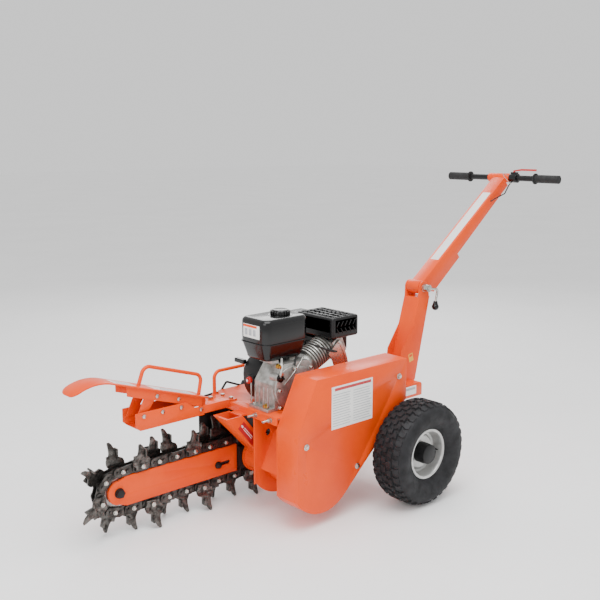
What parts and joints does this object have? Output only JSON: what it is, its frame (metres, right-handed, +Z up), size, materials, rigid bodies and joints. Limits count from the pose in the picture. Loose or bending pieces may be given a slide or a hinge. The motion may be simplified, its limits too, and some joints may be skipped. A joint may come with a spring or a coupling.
{
  "type": "walk-behind chain trencher",
  "caption": "Two-wheeled walk-behind trencher: engine on a deck, belt guard, short chain boom with cup teeth in front, folding tongue above it and an adjustable T-bar handle.",
  "frame": {"origin": "on the ground under the middle of the bounding box", "axes": "+X towards the handle, -X towards the digging boom, -Y the belt-guard side, +Z up"},
  "size_m": [2.1414, 0.926, 1.1583],
  "materials": {
    "orange": "gloss orange powder coat",
    "black_metal": "satin black paint",
    "chain_steel": "oiled dark steel",
    "zinc": "bright zinc plate",
    "steel": "machined steel",
    "cast_alloy": "as-cast alloy",
    "black_plastic": "gloss black",
    "red_plastic": "gloss red",
    "soft_grip": "moulded rubber",
    "belt_rubber": "matt rubber",
    "tyre_rubber": "moulded turf tyre",
    "rim_silver": "satin silver paint",
    "wear_plastic": "pale wear plastic"
  },
  "bodies": {
    "chassis": {"deck_plate": "orange", "side_plate": "orange", "guard_back_plate": "orange", "belt_guard": "orange", "frame_rails": "orange", "axle": "steel", "bearing_housing": "orange", "shaft_bearings": "steel", "boom_carrier": "black_metal", "boom": "orange", "wear_strips": "wear_plastic", "boom_bolts": "black_metal", "chain_outer_links": "chain_steel", "chain_inner_links": "chain_steel", "digging_teeth": "chain_steel", "tooth_bolts": "zinc", "drive_belts": "belt_rubber", "frame_bolts": "zinc", "front_bracket": "orange", "crumber_beam": "orange", "crumber_cheeks": "orange", "tongue_plate": "orange", "grab_loops": "orange", "spoil_shield": "black_metal", "shield_rod": "black_metal", "neck_arm": "orange", "engine_crankcase": "cast_alloy", "crankcase_cover": "cast_alloy", "engine_cylinder": "cast_alloy", "cylinder_shroud": "zinc", "fuel_tank": "black_plastic", "muffler_guard": "black_metal", "air_cleaner": "black_plastic", "fan_housing": "black_metal", "recoil_cover": "black_plastic", "lower_post": "orange"},
    "near_wheel": {"near_tyre": "tyre_rubber", "near_rim": "rim_silver", "near_hub": "black_metal"},
    "far_wheel": {"far_tyre": "tyre_rubber", "far_rim": "rim_silver", "far_hub": "black_metal"},
    "drive_line": {"drive_shaft": "steel", "drive_sprocket": "chain_steel", "driven_pulley": "black_metal"},
    "crank": {"crankshaft": "steel", "clutch_drum": "steel"},
    "nose_wheel": {"nose_roller": "steel"},
    "handle": {"upper_arm": "orange", "t_bar": "black_metal", "grips": "soft_grip", "lever_housing": "black_plastic", "control_cable": "black_plastic"},
    "clamp": {"clamp_lever": "zinc", "clamp_knob": "black_plastic"},
    "safety": {"safety_lever": "red_plastic"},
    "filler_cap": {"fuel_cap": "black_plastic"},
    "dipstick": {"oil_plug": "black_plastic"},
    "switch": {"engine_switch": "red_plastic"},
    "starter_grip": {"recoil_grip": "black_plastic"}
  },
  "joints": [
    {"name": "near_wheel_spin", "type": "hinge", "parent": "chassis", "child": "near_wheel", "pos_m": [0.043, -0.39, 0.188], "axis": [0, 1, 0], "continuous": true},
    {"name": "far_wheel_spin", "type": "hinge", "parent": "chassis", "child": "far_wheel", "pos_m": [0.043, 0.39, 0.188], "axis": [0, 1, 0], "continuous": true},
    {"name": "drive_spin", "type": "hinge", "parent": "chassis", "child": "drive_line", "pos_m": [-0.352, 0, 0.156], "axis": [0, 1, 0], "continuous": true},
    {"name": "crank_spin", "type": "hinge", "parent": "chassis", "child": "crank", "pos_m": [-0.322, -0.2, 0.46], "axis": [0, 1, 0], "continuous": true},
    {"name": "nose_roller_spin", "type": "hinge", "parent": "chassis", "child": "nose_wheel", "pos_m": [-0.9108, 0.083, 0.156], "axis": [0, 1, 0], "continuous": true},
    {"name": "arm_fold", "type": "hinge", "parent": "chassis", "child": "handle", "pos_m": [0.476, 0, 0.687], "axis": [0, 1, 0], "range_deg": [-70, 18]},
    {"name": "clamp_lever_turn", "type": "hinge", "parent": "chassis", "child": "clamp", "pos_m": [0.476, -0.06, 0.687], "axis": [0, 1, 0], "range_deg": [-60, 60]},
    {"name": "safety_lever_squeeze", "type": "hinge", "parent": "handle", "child": "safety", "pos_m": [1.04702, -0.061, 1.1413], "axis": [1, 0, 0], "range_deg": [0, 4], "stiffness_Nm_per_rad": 1, "springref_deg": -8.59},
    {"name": "fuel_cap_turn", "type": "hinge", "parent": "chassis", "child": "filler_cap", "pos_m": [-0.337, -0.076, 0.7], "axis": [0, 0, 1], "range_deg": [-90, 0]},
    {"name": "oil_plug_turn", "type": "hinge", "parent": "chassis", "child": "dipstick", "pos_m": [-0.418, -0.17, 0.496], "axis": [0, 1, 0], "range_deg": [0, 90]},
    {"name": "engine_switch_turn", "type": "hinge", "parent": "chassis", "child": "switch", "pos_m": [-0.437, -0.024, 0.464], "axis": [1, 0, 0], "range_deg": [0, 90]},
    {"name": "recoil_pull", "type": "slide", "parent": "chassis", "child": "starter_grip", "axis": [-0.8, 0, 0.6], "range_m": [0, 0.17], "stiffness_N_per_m": 30, "springref_m": -0.08}
  ],
  "couplings": [
    {"joint": "crank_spin", "follows": "drive_spin", "ratio": 2.1778},
    {"joint": "nose_roller_spin", "follows": "drive_spin", "ratio": 1}
  ]
}
